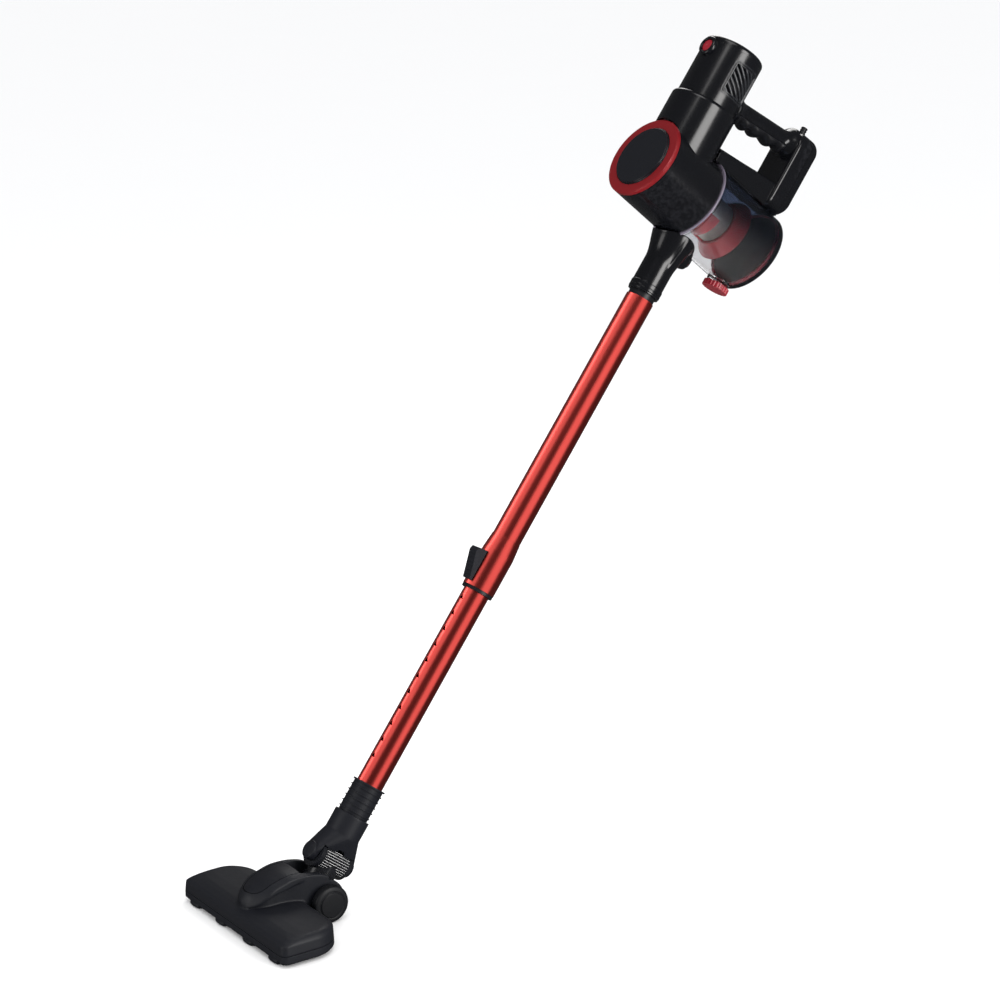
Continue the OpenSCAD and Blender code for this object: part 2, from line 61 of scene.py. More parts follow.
# ---------------------------------------------------------------- frames, from the CAD model (mm)
LEAN = math.radians(52.8)            # wand above the floor
GRIP = Vector((0, 32, 257))          # grip centre from the top of the wand tube
PITCH_LOCAL = Vector((0, 5, -789))   # pitch axis of the floor head
MM = Matrix.Scale(0.001, 4)
UNIT = MM @ Matrix.Rotation(LEAN - math.pi / 2, 4, "X") @ Matrix.Translation(-GRIP)
MOTOR = UNIT @ Matrix.Translation((0, -54.5, 0))
CYCLONE = UNIT @ Matrix.Translation((0, -97.6, 137.6)) @ Matrix.Rotation(math.radians(-3), 4, "X")
HANDLE = UNIT @ Matrix.Translation(GRIP) @ Matrix.Rotation(math.radians(6), 4, "X")
HEAD = UNIT @ Matrix.Translation(PITCH_LOCAL) @ Matrix.Rotation(math.pi / 2 - LEAN, 4, "X")
FLOOR_Z = CAD_BOX[0][2]

# ---------------------------------------------------------------- camera
CAMERA_FROM_TUBE = Vector((2.5427, -1.8931, 0.6492))
RIGHT, UP, BACK = (0.5582, 0.8294, -0.0213), (-0.2134, 0.1683, 0.9624), (0.8018, -0.5326, 0.2710)
LENS = 98.57


def make_camera():
    data = bpy.data.cameras.new("camera")
    data.lens = LENS
    data.sensor_width = 36
    data.clip_end = 60
    camera = bpy.data.objects.new("camera", data)
    bpy.context.scene.collection.objects.link(camera)
    turn = Matrix((RIGHT, UP, BACK)).transposed().to_4x4()
    camera.matrix_world = Matrix.Translation(UNIT @ Vector((0, 0, 0)) + CAMERA_FROM_TUBE) @ turn
    bpy.context.scene.camera = camera


make_camera()


# ---------------------------------------------------------------- node helpers
class Shader:
    """A material with a Principled shader and a few short-cuts for its texture nodes."""

    def __init__(self, name, color, rough, **sockets):
        self.mat = bpy.data.materials.new(name)
        self.mat.use_nodes = True
        self.tree = self.mat.node_tree
        self.bsdf = self.tree.nodes["Principled BSDF"]
        self.bsdf.inputs["Base Color"].default_value = (*color, 1)
        self.bsdf.inputs["Roughness"].default_value = rough
        for key, value in sockets.items():
            self.bsdf.inputs[key.replace("_", " ")].default_value = value
        self.color, self.rough, self.height = color, rough, None

    def node(self, kind, **settings):
        made = self.tree.nodes.new(kind)
        for key, value in settings.items():
            setattr(made, key, value)
        return made

    def link(self, a, b):
        self.tree.links.new(a, b)

    def coords(self, stretch=(1, 1, 1), output="Object", turn=(0, 0, 0)):
        """Texture space turned to a direction and stretched along its own axes."""
        source = self.node("ShaderNodeTexCoord")
        mapping = self.node("ShaderNodeMapping", vector_type="TEXTURE")
        mapping.inputs["Scale"].default_value = stretch
        mapping.inputs["Rotation"].default_value = turn
        self.link(source.outputs[output], mapping.inputs["Vector"])
        return mapping.outputs["Vector"]

    def noise(self, scale, detail=3, stretch=(1, 1, 1), turn=(0, 0, 0)):
        tex = self.node("ShaderNodeTexNoise")
        tex.inputs["Scale"].default_value = scale
        tex.inputs["Detail"].default_value = detail
        self.link(self.coords(stretch, turn=turn), tex.inputs["Vector"])
        return tex.outputs["Fac"]

    def ramp(self, value, low, high, out_low=0.0, out_high=1.0):
        made = self.node("ShaderNodeMapRange")
        for key, number in (("From Min", low), ("From Max", high), ("To Min", out_low), ("To Max", out_high)):
            made.inputs[key].default_value = number
        self.link(value, made.inputs["Value"])
        return made.outputs["Result"]

    def vary_rough(self, value, spread):
        varied = self.ramp(value, 0.3, 0.7, self.rough - spread, self.rough + spread)
        self.link(varied, self.bsdf.inputs["Roughness"])

    def vary_color(self, value, other):
        mix = self.node("ShaderNodeMix", data_type="RGBA")
        mix.inputs["A"].default_value = (*self.color, 1)
        mix.inputs["B"].default_value = (*other, 1)
        self.link(value, mix.inputs["Factor"])
        self.link(mix.outputs["Result"], self.bsdf.inputs["Base Color"])

    def bump(self, value, distance, strength=1.0):
        made = self.node("ShaderNodeBump")
        made.inputs["Distance"].default_value = distance
        made.inputs["Strength"].default_value = strength
        self.link(value, made.inputs["Height"])
        if self.height is not None:
            self.link(self.height, made.inputs["Normal"])
        self.height = made.outputs["Normal"]
        self.link(self.height, self.bsdf.inputs["Normal"])

    def worn_edges(self, lighter, amount=0.35):
        """Lightens sharp outer edges a little, as handling does."""
        point = self.node("ShaderNodeNewGeometry").outputs["Pointiness"]
        broken = self.node("ShaderNodeMath", operation="MULTIPLY")
        self.link(self.ramp(point, 0.53, 0.62, 0, amount), broken.inputs[0])
        self.link(self.ramp(self.noise(220, 4), 0.42, 0.62), broken.inputs[1])
        self.vary_color(broken.outputs[0], lighter)


def gloss(name, color, rough=0.19, coat=0.1, ripple=0.00001, lighter=(0.03, 0.031, 0.036)):
    """Polished moulded plastic: faint orange peel, dust-fine scuffs in the roughness."""
    s = Shader(name, color, rough, Coat_Weight=coat, Coat_Roughness=0.12)
    s.vary_rough(s.noise(90, 6), 0.012)
    s.worn_edges(lighter, 0.2)
    s.bump(s.noise(45, 1), ripple, 0.2)
    s.bump(s.noise(2600, 2), ripple, 0.05)
    return s


def grained(name, color, rough=0.5, grain=0.00003, lighter=(0.045, 0.047, 0.055)):
    """Matte moulded plastic: a fine spark-eroded grain and slightly polished edges."""
    s = Shader(name, color, rough, Specular_IOR_Level=0.36)
    s.vary_rough(s.noise(140, 6), 0.025)
    s.worn_edges(lighter, 0.3)
    s.bump(s.noise(1900, 3), grain, 0.4)
    s.bump(s.noise(5200, 2), grain, 0.25)
    return s


MATERIALS = {}


def material(slot_name):
    """Decorates a function that makes the material of one slot."""
    def keep(make):
        MATERIALS[slot_name] = make().mat
        return make
    return keep


@material("gloss_black")
def gloss_black():
    return gloss("gloss_black", (0.0036, 0.0039, 0.0052))


# Painted sheen: this black is lighter than the others, standing in for the bright edge lines along the grille
# frame.
@material("grille_black")
def grille_black():
    return gloss("grille_black", (0.017, 0.018, 0.021), rough=0.2, coat=0.6)


@material("disc_black")
def disc_black():
    return gloss("disc_black", (0.0075, 0.0082, 0.011), rough=0.24, coat=0.1)


@material("barrel_black")
def barrel_black():
    return gloss("barrel_black", (0.008, 0.0085, 0.011), rough=0.26, coat=0.1)


@material("rib_black")
def rib_black():
    return gloss("rib_black", (0.012, 0.0125, 0.015), rough=0.17, coat=1.0, ripple=0.000002)


@material("satin_black")
def satin_black():
    return grained("satin_black", (0.007, 0.0075, 0.0095), rough=0.36, grain=0.000015)


@material("matte_black")
def matte_black():
    return grained("matte_black", (0.0074, 0.0084, 0.0128), rough=0.46)


@material("grip_black")
def grip_black():
    return grained("grip_black", (0.006, 0.0063, 0.008), rough=0.33, grain=0.00002)


@material("head_black")
def head_black():
    return grained("head_black", (0.0082, 0.0093, 0.0135), rough=0.5)


@material("panel_black")
def panel_black():
    return grained("panel_black", (0.0074, 0.0083, 0.012), rough=0.44)


@material("wheel_black")
def wheel_black():
    return grained("wheel_black", (0.0052, 0.0058, 0.0078), rough=0.5)


@material("inner_plastic")
def inner_plastic():
    return grained("inner_plastic", (0.03, 0.03, 0.034), rough=0.55)


@material("seal_rubber")
def seal_rubber():
    return grained("seal_rubber", (0.012, 0.012, 0.013), rough=0.62)


@material("seal_red")
def seal_red():
    return grained("seal_red", (0.30, 0.03, 0.05), rough=0.45, lighter=(0.4, 0.08, 0.1))


@material("bristle_black")
def bristle_black():
    s = grained("bristle_black", (0.008, 0.008, 0.01), rough=0.6)
    s.bump(s.noise(2600, 2, stretch=(1, 1, 25)), 0.0004, 0.8)
    return s


@material("cover_red")
def cover_red():
    s = gloss("cover_red", (0.24, 0.008, 0.012), rough=0.3, coat=0.35, lighter=(0.4, 0.05, 0.06))
    s.bsdf.inputs["Metallic"].default_value = 0.35
    s.bump(s.noise(3800, 2), 0.000008, 0.3)
    return s


@material("frame_red")
def frame_red():
    s = gloss("frame_red", (0.44, 0.016, 0.03), rough=0.24, coat=0.3, lighter=(0.6, 0.08, 0.09))
    s.bsdf.inputs["Subsurface Weight"].default_value = 0.15
    s.bsdf.inputs["Subsurface Radius"].default_value = (0.004, 0.0008, 0.0008)
    return s


@material("button_red")
def button_red():
    s = gloss("button_red", (0.25, 0.009, 0.019), rough=0.28, coat=0.3, lighter=(0.75, 0.12, 0.13))
    s.bsdf.inputs["Subsurface Weight"].default_value = 0.2
    s.bsdf.inputs["Subsurface Radius"].default_value = (0.004, 0.0008, 0.0008)
    return s


@material("tube_red")
def tube_red():
    """Red anodised aluminium, drawn along the tube: faint lengthwise lines."""
    s = Shader("tube_red", (0.80, 0.085, 0.072), 0.3, Metallic=1.0, Coat_Weight=0.25, Coat_Roughness=0.3)
    drawn = s.noise(1800, 3, stretch=(1, 1, 90), turn=(LEAN - math.pi / 2, 0, 0))
    s.vary_rough(drawn, 0.03)
    s.vary_color(s.ramp(s.noise(14, 3), 0.4, 0.7, 0, 0.3), (0.74, 0.072, 0.06))
    s.bump(drawn, 0.000004, 0.25)
    return s


@material("clear_cup")
def clear_cup():
    """Clear plastic with a faint grey tint, painted darker and bluer toward the top of the cup: painted shade
    for the dark inside seen through the wall.
    """
    s = Shader("clear_cup", (0.78, 0.78, 0.79), 0.03, Transmission_Weight=0.985, IOR=1.22)
    height = s.node("ShaderNodeVectorMath", operation="DOT_PRODUCT")
    s.link(s.node("ShaderNodeTexCoord").outputs["Object"], height.inputs[0])
    up = (UNIT.to_3x3() @ Vector((0, 0, 1))).normalized()
    height.inputs[1].default_value = up
    low, high = (up.dot(UNIT @ Vector((0, 30, z))) for z in (98, 146))
    # Painted shade: the wall's colour darkens to blue-grey toward the top, for the dark inside seen through
    # it.
    s.vary_color(s.ramp(height.outputs["Value"], low, high), (0.17, 0.20, 0.27))
    s.vary_rough(s.noise(30, 4), 0.02)
    s.bump(s.noise(60, 2), 0.00003, 0.12)
    return s


def clear_rim():
    """Thick moulded edge of the clear cup: its paler, purplish part-diffuse colour is a painted highlight for
    the light the thick edge gathers.
    """
    s = Shader("clear_rim", (0.30, 0.26, 0.34), 0.12, Transmission_Weight=0.55, IOR=1.47, Coat_Weight=0.6)
    s.vary_rough(s.noise(60, 4), 0.03)
    return s.mat


@material("mesh_steel")
def mesh_steel():
    """Fine perforated sheet: a hexagonal field of dark holes, from the piece's own UV in millimetres."""
    s = Shader("mesh_steel", (0.62, 0.59, 0.53), 0.42, Metallic=0.75)
    cells = s.node("ShaderNodeTexVoronoi", feature="F1")
    cells.inputs["Randomness"].default_value = 0.0
    cells.inputs["Scale"].default_value = 1.0
    s.link(s.coords(output="UV"), cells.inputs["Vector"])
    hole = s.ramp(cells.outputs["Distance"], 0.24, 0.34, 1, 0)
    s.vary_color(hole, (0.06, 0.055, 0.05))
    s.bump(s.ramp(cells.outputs["Distance"], 0.2, 0.36), 0.0002, 0.6)
    return s


@material("filter_paper")
def filter_paper():
    s = Shader("filter_paper", (0.78, 0.76, 0.70), 0.85)
    s.bump(s.noise(900, 5), 0.0002, 0.6)
    return s


@material("filter_foam")
def filter_foam():
    s = Shader("filter_foam", (0.05, 0.052, 0.06), 0.95)
    s.bump(s.noise(1300, 2), 0.0006, 0.9)
    return s


@material("screw_steel")
def screw_steel():
    s = Shader("screw_steel", (0.56, 0.56, 0.58), 0.3, Metallic=1.0)
    s.vary_rough(s.noise(400, 4), 0.08)
    return s


@material("motor_steel")
def motor_steel():
    s = Shader("motor_steel", (0.42, 0.42, 0.44), 0.4, Metallic=1.0)
    s.bump(s.noise(1500, 2, stretch=(20, 20, 1)), 0.0001, 0.6)
    return s


@material("winding_copper")
def winding_copper():
    s = Shader("winding_copper", (0.55, 0.22, 0.09), 0.3, Metallic=1.0)
    s.bump(s.noise(1600, 2, stretch=(10, 10, 1)), 0.0003, 0.8)
    return s


@material("impeller_metal")
def impeller_metal():
    s = Shader("impeller_metal", (0.75, 0.75, 0.77), 0.25, Metallic=1.0)
    s.vary_rough(s.noise(300, 4), 0.07)
    return s


# ---------------------------------------------------------------- mesh helpers
def finish_mesh(name, mesh, slot_name, node, body=None, edge=0.0, angle=32):
    """Links a mesh as a piece: material, slot, body, rounded edges and clean shading."""
    piece = bpy.data.objects.new(name, mesh)
    bpy.context.scene.collection.objects.link(piece)
    piece.data.materials.clear()
    piece.data.materials.append(MATERIALS[slot_name])
    piece.data.polygons.foreach_set("use_smooth", [True] * len(piece.data.polygons))
    if edge:
        bevel = piece.modifiers.new("edge", "BEVEL")
        bevel.width = edge
        bevel.segments = 3
        bevel.limit_method = "ANGLE"
        bevel.angle_limit = math.radians(angle)
        bevel.use_clamp_overlap = True
        weighted = piece.modifiers.new("normals", "WEIGHTED_NORMAL")
        weighted.keep_sharp = False
    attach(piece, body or NODE_BODY[node])
    return piece


def welded(node, dissolve=0.6):
    """A copy of a CAD node's mesh with its vertices joined and flat areas merged."""
    mesh = frame["nodes"][node].data.copy()
    bm = bmesh.new()
    bm.from_mesh(mesh)
    bmesh.ops.remove_doubles(bm, verts=bm.verts, dist=0.000004)
    bmesh.ops.dissolve_limit(bm, angle_limit=math.radians(dissolve), verts=bm.verts, edges=bm.edges)
    bm.to_mesh(mesh)
    bm.free()
    if mesh.has_custom_normals:
        mesh.attributes.remove(mesh.attributes["custom_normal"])
    return mesh


def polished(node, edge=0.0004, angle=32):
    """The CAD node with rounded edges, in place of the plain one."""
    piece = finish_mesh(node + "_piece", welded(node), NODE_SLOT[node], node, edge=edge, angle=angle)
    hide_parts(node)
    return piece


def smooth(a, b, x):
    """0 below a, 1 above b, and a smooth step between them; a may be above b."""
    t = min(max((x - a) / (b - a), 0), 1)
    return t * t * (3 - 2 * t)


def steps(a, b, count):
    return [a + (b - a) * i / (count - 1) for i in range(count)]


def follow(points, x):
    """The height at x of a smooth curve through (x, height) points in rising x."""
    if x <= points[0][0]:
        return points[0][1]
    for i in range(len(points) - 1):
        (x0, h0), (x1, h1) = points[i], points[i + 1]
        if x <= x1:
            before = points[i - 1] if i else points[i]
            after = points[i + 2] if i + 2 < len(points) else points[i + 1]
            slope0 = (h1 - before[1]) / (x1 - before[0])
            slope1 = (after[1] - h0) / (after[0] - x0)
            span = x1 - x0
            t = (x - x0) / span
            return (h0 * (1 + 2 * t) * (1 - t) ** 2 + slope0 * span * t * (1 - t) ** 2
                    + h1 * t * t * (3 - 2 * t) - slope1 * span * t * t * (1 - t))
    return points[-1][1]


def mesh_from(verts, faces, place):
    """A closed mesh from millimetre points in one of the frames above, with outward normals."""
    mesh = bpy.data.meshes.new("piece")
    mesh.from_pydata([place @ Vector(v) for v in verts], [], faces)
    bm = bmesh.new()
    bm.from_mesh(mesh)
    bmesh.ops.recalc_face_normals(bm, faces=bm.faces)
    bm.to_mesh(mesh)
    bm.free()
    return mesh


def loft(rings, place, caps=True):
    """A skin over closed rings of equally many points, with its two ends closed."""
    count = len(rings[0])
    verts = [p for ring in rings for p in ring]
    faces = []
    for r in range(len(rings) - 1):
        for i in range(count):
            j = (i + 1) % count
            faces.append((r * count + i, r * count + j, (r + 1) * count + j, (r + 1) * count + i))
    if caps:
        faces.append(tuple(range(count)))
        faces.append(tuple(range((len(rings) - 1) * count, len(rings) * count)))
    return mesh_from(verts, faces, place)


def loop_loft(rings, place):
    """A skin over closed rings whose last ring joins the first, as on a turned part."""
    count = len(rings[0])
    verts = [p for ring in rings for p in ring]
    faces = []
    for r in range(len(rings)):
        q = (r + 1) % len(rings)
        for i in range(count):
            j = (i + 1) % count
            faces.append((r * count + i, r * count + j, q * count + j, q * count + i))
    return mesh_from(verts, faces, place)


def turned(profile, place, axis="z", around=96):
    """A part turned on the lathe: a closed outline of (radius, height) points round an axis."""
    rings = []
    for i in range(around):
        c, s = math.cos(math.tau * i / around), math.sin(math.tau * i / around)
        rings.append([{"z": (r * c, r * s, h), "y": (r * c, h, r * s), "x": (h, r * c, r * s)}[axis]
                      for r, h in profile])
    return loop_loft(rings, place)


def merged(meshes, voxel, relax):
    """One skin over overlapping closed meshes, blended where they meet."""
    joined = bmesh.new()
    for mesh in meshes:
        joined.from_mesh(mesh)
    mesh = bpy.data.meshes.new("piece")
    joined.to_mesh(mesh)
    joined.free()
    temp = bpy.data.objects.new("temp", mesh)
    bpy.context.scene.collection.objects.link(temp)
    remesh = temp.modifiers.new("skin", "REMESH")
    remesh.mode = "VOXEL"
    remesh.voxel_size = voxel * 0.001
    soften = temp.modifiers.new("soften", "SMOOTH")
    soften.factor = 0.5
    soften.iterations = relax
    thin = temp.modifiers.new("thin", "DECIMATE")
    thin.ratio = 0.35
    done = bpy.data.meshes.new_from_object(temp.evaluated_get(bpy.context.evaluated_depsgraph_get()))
    bpy.data.objects.remove(temp)
    return done


def hull_of(points, place):
    """The convex hull of millimetre points."""
    bm = bmesh.new()
    for p in points:
        bm.verts.new(place @ Vector(p))
    made = bmesh.ops.convex_hull(bm, input=bm.verts)
    unused = {v for v in made["geom_interior"] + made["geom_unused"] if isinstance(v, bmesh.types.BMVert)}
    bmesh.ops.delete(bm, geom=list(unused), context="VERTS")
    mesh = bpy.data.meshes.new("piece")
    bm.to_mesh(mesh)
    bm.free()
    return mesh


def cut(mesh, cutters, how="DIFFERENCE"):
    """The mesh less each cutter, or only what it shares with each one."""
    temp = bpy.data.objects.new("temp", mesh)
    bpy.context.scene.collection.objects.link(temp)
    tools = []
    for cutter in cutters:
        tool = bpy.data.objects.new("tool", cutter)
        bpy.context.scene.collection.objects.link(tool)
        boolean = temp.modifiers.new("cut", "BOOLEAN")
        boolean.operation = how
        boolean.solver = "EXACT"
        boolean.object = tool
        tools.append(tool)
    done = bpy.data.meshes.new_from_object(temp.evaluated_get(bpy.context.evaluated_depsgraph_get()))
    for unused in tools + [temp]:
        bpy.data.objects.remove(unused)
    return done


def block(x0, x1, y0, y1, z0, z1, place):
    corners = [(x, y, z) for x in (x0, x1) for y in (y0, y1) for z in (z0, z1)]
    return hull_of(corners, place)


def rod(r, x0, x1, place, y=0, z=0, around=64):
    rings = [[(x, y + r * math.cos(math.tau * i / around), z + r * math.sin(math.tau * i / around))
              for i in range(around)] for x in (x0, x1)]
    return loft(rings, place)


def new_piece(name, mesh, node, slot_name=None, edge=0.0, replaces=()):
    piece = finish_mesh(name, mesh, slot_name or NODE_SLOT[node], node, edge=edge)
    if replaces:
        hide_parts(*replaces)
    return piece


# ---------------------------------------------------------------- handle
HANDLE_R = 13.2
GRIP_CRESTS = (-45, -26.3, -9.2, 16.4, 37.4)
GRIP_DEPTH = 3.8


def handle_radius(y):
    return HANDLE_R + 5 * smooth(-34, -53, y) ** 1.5 + 8.5 * smooth(30, 49, y) ** 1.8


def finger_wave(y):
    for y0, y1 in zip(GRIP_CRESTS, GRIP_CRESTS[1:]):
        if y0 <= y <= y1:
            return GRIP_DEPTH * abs(math.cos(math.pi * (y - y0) / (y1 - y0))) ** 1.7
    return 0.0


def make_handle():
    rings = []
    for y in steps(-53, 49, 72):
        ring = []
        for i in range(72):
            a = math.tau * i / 72
            seam = 0.55 if math.sin(a) < -0.36 and -46 < y < 38 else 0
            r = handle_radius(y) - seam
            ring.append((r * math.cos(a), y, r * math.sin(a)))
        rings.append(ring)
    new_piece("handle_body_piece", loft(rings, HANDLE), "handle_body", replaces=["handle_body"])
    rings = []
    for y in steps(-45, 37.4, 110):
        end = smooth(-45, -42, y) * smooth(37.4, 34.5, y)
        outer, inner = [], []
        for a in steps(math.radians(203), math.radians(337), 40):
            toward = math.sin(math.pi * (a - math.radians(203)) / math.radians(134))
            r = handle_radius(y) + (0.15 + finger_wave(y) * toward ** 0.8) * (0.35 + 0.65 * end)
            outer.append((r * math.cos(a), y, r * math.sin(a)))
            inner.append(((HANDLE_R - 2) * math.cos(a), y, (HANDLE_R - 2) * math.sin(a)))
        rings.append(outer + inner[::-1])
    new_piece("finger_grip_piece", loft(rings, HANDLE), "finger_grip", replaces=["finger_grip"])


make_handle()

# ---------------------------------------------------------------- power button
POWER_Z = 291


def make_power_button():
    place = MOTOR @ Matrix.Translation((0, 0, POWER_Z))
    bezel = [(8.0, -34), (8.0, -40.0), (8.4, -41.0), (9.3, -41.5), (10.8, -41.3), (11.9, -40.4),
             (12.4, -38.8), (12.4, -34)]
    new_piece("power_bezel_piece", turned(bezel, place, "y"), "power_bezel", slot_name="gloss_black",
              replaces=["power_bezel"])
    crown = [(0.05, -34), (7.6, -34), (7.6, -39.2), (7.3, -39.8), (6.5, -40.1), (4, -40.5),
             (2, -40.65), (0.05, -40.7)]
    new_piece("power_button_piece", turned(crown, place, "y"), "power_button", replaces=["power_button"])


make_power_button()

# ---------------------------------------------------------------- inlet duct
DUCT_R, DUCT_TOP_R, CASING_R = 19.3, 28.6, 53.7
CASING_TILT = math.tan(math.radians(3))


def duct_radius(z, front):
    """Radius of the duct: a straight nozzle that swells toward the casing, first at its rear."""
    r = DUCT_R + (DUCT_TOP_R - DUCT_R) * smooth(48 if front < 0 else 40, 92, z)
    lip = 0.75 * smooth(18.6, 17.6, z) - 0.6 * smooth(9.4, 8.6, z)
    groove = -0.5 * (smooth(11.6, 12, z) - smooth(12.8, 13.2, z))
    return r + lip + groove


def under_casing(x, y):
    """Height where the duct meets the round casing above it."""
    return 137.6 - (y + 97.6) * CASING_TILT - math.sqrt(max(CASING_R ** 2 - x * x, 0))


def make_duct():
    around = 96
    heights = steps(7, 20, 66) + steps(21, 110, 60)
    outer, inner = [], []
    for z in heights:
        ring, bore = [], []
        for i in range(around):
            a = math.tau * i / around
            c, s = math.cos(a), math.sin(a)
            r = duct_radius(z, s)
            top = under_casing(r * c, r * s)
            ring.append((r * c, r * s, min(z, top)))
            r = min(16.4, r - 1.5) if z < 50 else r - 2.2
            bore.append((r * c, r * s, min(z, top - 0.3)))
        outer.append(ring)
        inner.append(bore)
    rings = [inner[0]] + outer + inner[::-1]
    mesh = loop_loft(rings[:-1], UNIT)
    new_piece("inlet_duct_piece", mesh, "inlet_duct", replaces=["inlet_duct"])


make_duct()


def pill(size, edge, place, power=4.0, rows=14, around=48):
    """A soft-edged block: a superellipse in plan whose top and bottom edges are rounded."""
    sx, sy, sz = (v / 2 for v in size)
    rings = []
    for k in range(-rows, rows + 1):
        t = k / rows
        z = t * sz
        over = max(abs(z) - (sz - edge), 0) / edge
        shrink = edge * (1 - math.sqrt(max(1 - over * over, 0)))
        ring = []
        for i in range(around):
            a = math.tau * i / around
            c, s = math.cos(a), math.sin(a)
            ring.append(((sx - shrink) * math.copysign(abs(c) ** (2 / power), c),
                         (sy - shrink) * math.copysign(abs(s) ** (2 / power), s), z))
        rings.append(ring)
    return loft(rings, place)


def make_wand_release():
    boss = UNIT @ Matrix.Translation((0, 24, 72)) @ Matrix.Rotation(math.radians(90), 4, "X")
    new_piece("release_boss", pill((19, 28, 20), 6, boss, power=3), "inlet_duct")
    button = UNIT @ Matrix.Translation((0, 33.25, 70)) @ Matrix.Rotation(math.radians(86), 4, "X")
    new_piece("wand_release_piece", pill((13, 15, 6), 2.9, button, power=3), "wand_release_button",
              replaces=["wand_release_button"])


make_wand_release()

# ---------------------------------------------------------------- floor head
HEAD_LAYERS = ((-8.5, 118, -107, -27, 8, 36), (3.2, 117, -105.4, -27, 7, 36),
               (5.4, 115.8, -101, -27.6, 9, 35),
               (7.4, 114.2, -94, -31, 11, 31), (8.8, 112.6, -85, -37, 13, 25), (9.5, 110, -74, -46, 12, 14))
BILL_NOSE, BILL_HALF = -66, 28.5
BILL_CROWN = [(-96, 12), (-88, 25), (-73, 33), (-55, 38.5), (-41, 40.5), (-20, 38.5), (0, 33), (14, 24)]
BILL_EDGE = [(-96, 9), (-84, 16), (-68, 28), (-53, 33.5), (-41, 36.5), (-26, 37), (-13, 35.5),
             (2, 31), (14, 22)]
BILL_UNDER = [(-96, 7), (-84, 13), (-68, 22), (-50, 26), (-34, 30), (-20, 32), (2, 26), (14, 18)]


def bill_width(y):
    return BILL_HALF if y > BILL_NOSE else math.sqrt(max(BILL_HALF ** 2 - (y - BILL_NOSE) ** 2, 0.25))


def bill_top(x, y):
    crown, side = follow(BILL_CROWN, y), follow(BILL_EDGE, y)
    return crown - (crown - side) * (x / bill_width(y)) ** 2


def slab(y0, y1, v0, v1, top, bottom, width, rows=48, across=28, place=HEAD):
    """A plate from y0 to y1 between two fractions of its half width, with given top and bottom."""
    rings = []
    for y in steps(y0, y1, rows):
        xs = [v * width(y) for v in steps(v0, v1, across)]
        rings.append([(x, y, top(x, y)) for x in xs] + [(x, y, bottom(x, y)) for x in reversed(xs)])
    return loft(rings, place)


def head_hull():
    points = []
    for z, half, front, rear, r_front, r_rear in HEAD_LAYERS:
        for side in (-1, 1):
            for i in range(48):
                c, s = math.cos(math.tau * i / 48), math.sin(math.tau * i / 48)
                points.append((side * (half - r_front) + r_front * c, front + r_front + r_front * s, z))
                points.append((side * (half - r_rear) + r_rear * c, rear - r_rear + r_rear * s, z))
    return hull_of(points, HEAD)


def wall_width(y):
    """Half width of the walls under the bill: set back at the nose, flush beside the neck."""
    return bill_width(y) * (0.8 + 0.2 * smooth(-58, -20, y))


def make_head():
    plate_under = lambda x, y: min(follow(BILL_UNDER, y), bill_top(x, y) - 1.6)
    parts = [head_hull(), slab(-94.3, -26, -1, 1, bill_top, plate_under, bill_width)]
    parts.append(slab(-89, -26, -1, 1, lambda x, y: bill_top(x, y) - 2.5, lambda x, y: 0, wall_width))
    for side in (-1, 1):
        lo, hi = sorted((side * 19.8 / BILL_HALF, side * 1.0))
        parts.append(slab(-30, 6, lo, hi, bill_top, lambda x, y: 0, wall_width, rows=24, across=8))
        parts.append(rod(25, side * 19.8, side * 28, HEAD))
    mesh = merged(parts, 0.8, 10)
    outline = lambda y, half: half if y > -69 else math.sqrt(max(half ** 2 - (y + 69) ** 2, 0.2))
    seat = slab(-87.9, -20, -1, 1, lambda x, y: bill_top(x, y) + 4, lambda x, y: bill_top(x, y) - 1.6,
                lambda y: outline(y, 19.0))
    mesh = cut(mesh, [seat])
    mesh.set_sharp_from_angle(angle=math.radians(50))
    new_piece("head_top_piece", mesh, "head_top_shell", replaces=["head_top_shell"])
    panel = slab(-86.8, -27.2, -1, 1, lambda x, y: bill_top(x, y) - 0.1, lambda x, y: bill_top(x, y) - 1.4,
                 lambda y: outline(y, 17.9))
    new_piece("bill_panel_piece", panel, "bill_panel", edge=0.0004, replaces=["bill_panel"])
    for i, x in enumerate((-92, -31, 33, 92)):
        place = HEAD @ Matrix.Translation((x, -102.5, -18.7))
        glide = pill((22, 11, 6.4), 3.1, place, power=3)
        new_piece(f"front_glide_{i + 1}", glide, "head_base_plate", edge=0.0)


make_head()


def make_wheel(side):
    rim = [(3.1, 31), (17, 31), (19.5, 31.4), (21.2, 32.6), (22, 34.6), (22, 40.4), (21.3, 42.2),
           (19.6, 43.4),
           (16.6, 43.7), (16, 43.2), (15.4, 43.2), (15, 44), (14.2, 44.7), (9, 45), (0.05, 45.1),
           (0.05, 44.3), (3.1, 44.2)]
    outline = [(r, side * x) for r, x in rim]
    name = "wheel_right" if side > 0 else "wheel_left"
    new_piece(name + "_piece", turned(outline, HEAD, "x"), name, replaces=[name], edge=0.0003)


for wheel_side in (-1, 1):
    make_wheel(wheel_side)

# ---------------------------------------------------------------- neck
SWIVEL_Z = -747


def make_cuff():
    mesh = merged([welded("neck_cuff")], 0.6, 6)
    new_piece("neck_cuff_piece", mesh, "neck_cuff", replaces=["neck_cuff"])


def make_pin_caps():
    """A flat round cap with a grooved edge on the outside of each ear."""
    for side, name in ((-1, "pin_cap_front"), (1, "pin_cap_rear")):
        rim = [(0.05, 29), (10.9, 29), (10.9, 30.9), (10.5, 31.5), (9.7, 31.8), (9.3, 31.3), (8.8, 31.3),
               (8.4, 31.9),
               (7.8, 32.2), (0.05, 32.4)]
        place = UNIT @ Matrix.Translation((0, 0, SWIVEL_Z))
        new_piece(name, turned([(r, side * y) for r, y in rim], place, "y"), "swivel_pins", edge=0.0002)


